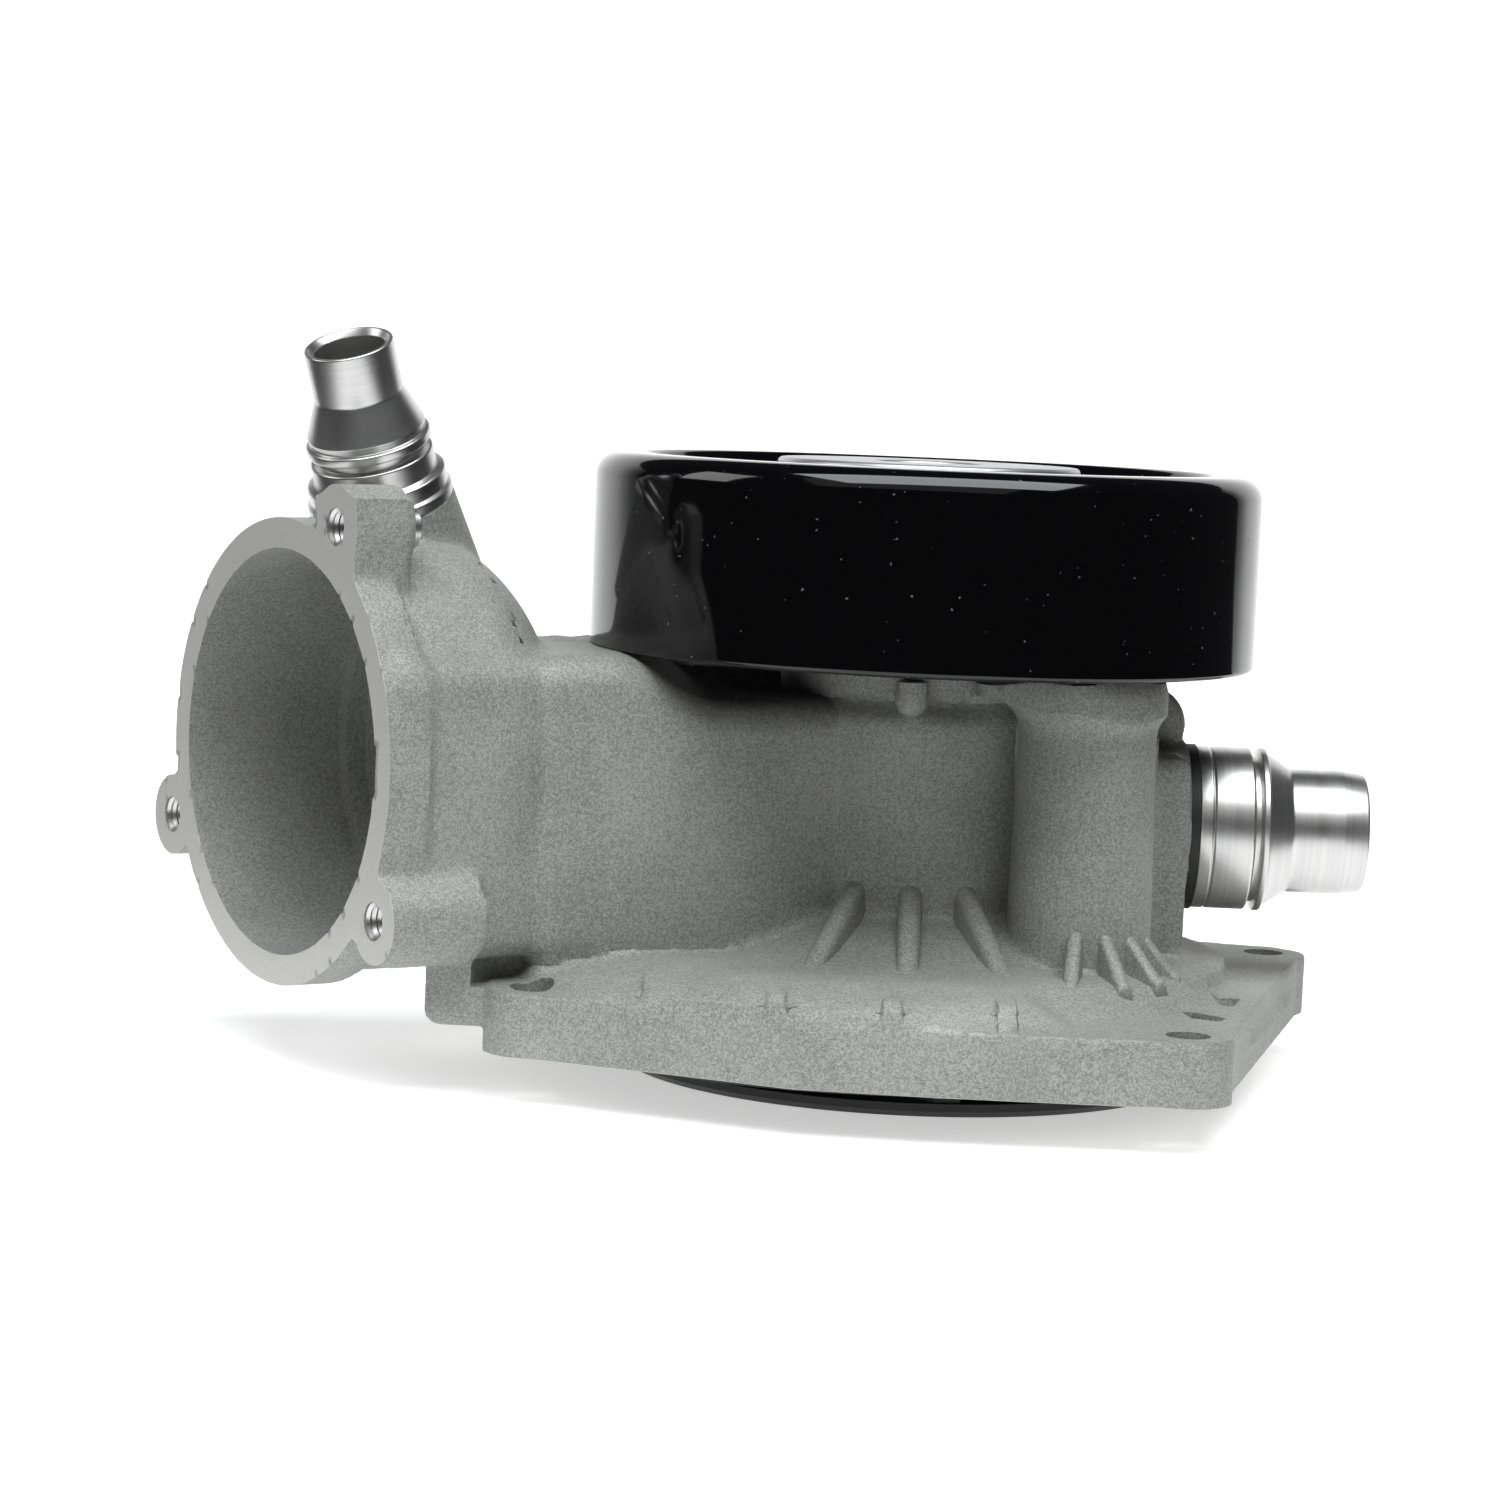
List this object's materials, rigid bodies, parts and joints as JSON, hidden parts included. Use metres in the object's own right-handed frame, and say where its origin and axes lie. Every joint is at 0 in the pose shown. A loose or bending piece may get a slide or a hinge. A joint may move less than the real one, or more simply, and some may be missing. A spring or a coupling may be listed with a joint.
{
  "type": "coolant pump",
  "caption": "Belt-driven engine coolant pump: cast housing with thermostat neck, mounting plate, quick-connect nipples, shaft bearing, face seal, closed impeller and flat-belt pulley.",
  "frame": {"origin": "where the shaft axis crosses the mounting face, the underside of the plate", "axes": "+Z along the shaft axis from the mounting face towards the pulley; +X along the side nipple, away from the shaft; +Y away from the side with the thermostat screws"},
  "size_m": [0.2031, 0.1406, 0.1185],
  "materials": {
    "cast_aluminium": "shot-blasted die casting",
    "turned_aluminium": "turned, bright",
    "black_enamel": "gloss black",
    "hub_steel": "turned steel",
    "bearing_steel": "ground",
    "cage_brass": "stamped",
    "bush_brass": "turned",
    "spring_steel": "drawn wire",
    "impeller_plastic": "satin moulded",
    "black_rubber": "moulded",
    "seal_carbon": "lapped carbon",
    "seal_ceramic": "lapped ceramic"
  },
  "bodies": {
    "pump_housing": {"housing": "cast_aluminium", "bearing_outer_ring": "bearing_steel", "bearing_seal_upper": "black_rubber", "bearing_seal_lower": "black_rubber", "seal_cup": "bush_brass", "seal_bellows": "black_rubber", "seal_spring": "spring_steel", "seal_carbon_ring": "seal_carbon", "upper_nipple": "turned_aluminium", "upper_nipple_o_ring": "black_rubber", "side_nipple": "turned_aluminium", "side_nipple_o_ring": "black_rubber", "side_nipple_washer": "black_rubber", "mounting_gasket": "black_rubber", "weep_plug": "hub_steel"},
    "rotor": {"shaft": "bearing_steel", "pulley": "black_enamel", "pulley_hub": "hub_steel", "impeller_wheel": "impeller_plastic", "impeller_top_ring": "impeller_plastic", "impeller_bush": "bush_brass", "seal_seat_ring": "seal_ceramic", "seal_seat_boot": "black_rubber"},
    "ball_train": {"bearing_balls": "bearing_steel", "ball_cage": "cage_brass"},
    "roller_train": {"bearing_rollers": "bearing_steel", "roller_cage": "cage_brass"}
  },
  "joints": [
    {"name": "shaft_spin", "type": "hinge", "parent": "pump_housing", "child": "rotor", "pos_m": [0, 0, 0], "axis": [0, 0, 1], "continuous": true},
    {"name": "ball_train_spin", "type": "hinge", "parent": "pump_housing", "child": "ball_train", "pos_m": [0, 0, 0.072], "axis": [0, 0, 1], "continuous": true},
    {"name": "roller_train_spin", "type": "hinge", "parent": "pump_housing", "child": "roller_train", "pos_m": [0, 0, 0.055], "axis": [0, 0, 1], "continuous": true}
  ],
  "couplings": [
    {"joint": "ball_train_spin", "follows": "shaft_spin", "ratio": 0.3719},
    {"joint": "roller_train_spin", "follows": "shaft_spin", "ratio": 0.38017}
  ]
}
